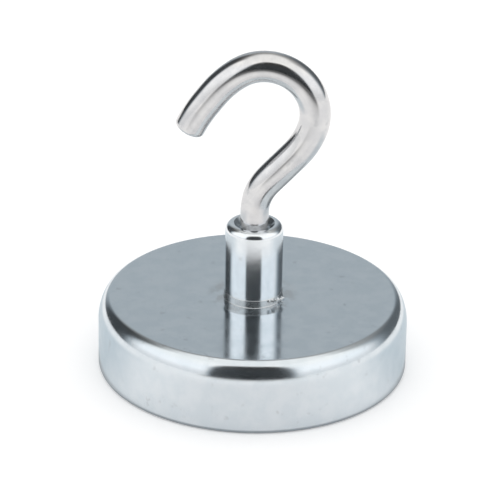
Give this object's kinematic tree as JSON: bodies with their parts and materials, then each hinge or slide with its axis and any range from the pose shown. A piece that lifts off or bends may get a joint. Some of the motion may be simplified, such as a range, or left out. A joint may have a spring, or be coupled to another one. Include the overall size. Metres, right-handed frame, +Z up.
{
  "type": "hook pot magnet",
  "caption": "Round pot magnet for magnet fishing: a steel cup around a ring magnet, with a threaded neck and an open rod hook that turns in it to take a line.",
  "frame": {"origin": "centre of the magnetic face, which is the centre of the bounding box's underside", "axes": "+Z up out of the magnetic face, along the neck and the hook's turning axis; at rest the hook's bend is towards +X and its tip towards -X, in an upright plane 6 degrees clockwise of the XZ plane, seen from above"},
  "size_m": [0.06, 0.06, 0.0655],
  "materials": {
    "pot_zinc": "gloss",
    "neck_zinc": "gloss",
    "hook_zinc": "gloss",
    "magnet_nickel": "satin",
    "bond_resin": "matte",
    "potting_resin": "satin"
  },
  "bodies": {
    "pot": {"pot_shell": "pot_zinc", "threaded_neck": "neck_zinc", "ring_magnet": "magnet_nickel", "magnet_bond": "bond_resin", "potting_ring": "potting_resin", "centre_plug": "potting_resin"},
    "hook": {"hook": "hook_zinc"}
  },
  "joints": [
    {"name": "hook_turn", "type": "hinge", "parent": "pot", "child": "hook", "pos_m": [0, 0, 0.03], "axis": [0, 0, 1], "range_deg": [-180, 180]}
  ]
}
